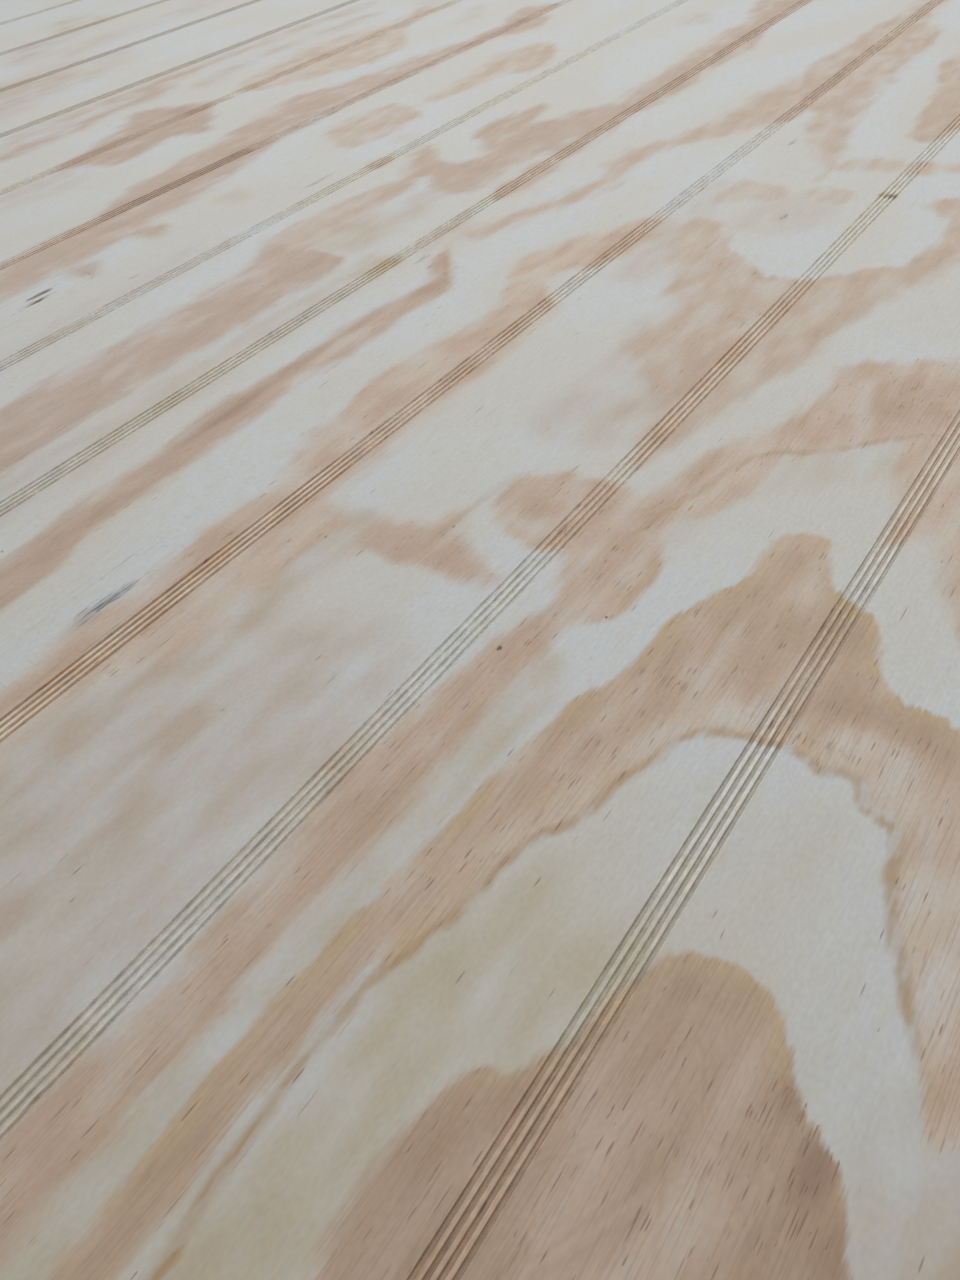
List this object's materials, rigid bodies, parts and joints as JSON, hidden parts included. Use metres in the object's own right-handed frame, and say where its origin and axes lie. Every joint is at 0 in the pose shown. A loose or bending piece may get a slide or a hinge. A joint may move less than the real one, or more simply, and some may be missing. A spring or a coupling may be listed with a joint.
{
  "type": "grooved plywood sheet",
  "caption": "Flat pine plywood sheet with square edges and a plain back, its face grooved from end to end in evenly spaced groups of fine parallel lines.",
  "frame": {"origin": "middle of the plain back face, which the sheet lies on", "axes": "+X along the sheet's length and its grooves, +Y across the sheet, +Z from the back up to the grooved face"},
  "size_m": [2.44, 1.22, 0.012],
  "materials": {
    "pine_plywood": "sanded, unfinished"
  },
  "bodies": {
    "root": {"grooved_sheet": "pine_plywood"}
  },
  "joints": []
}
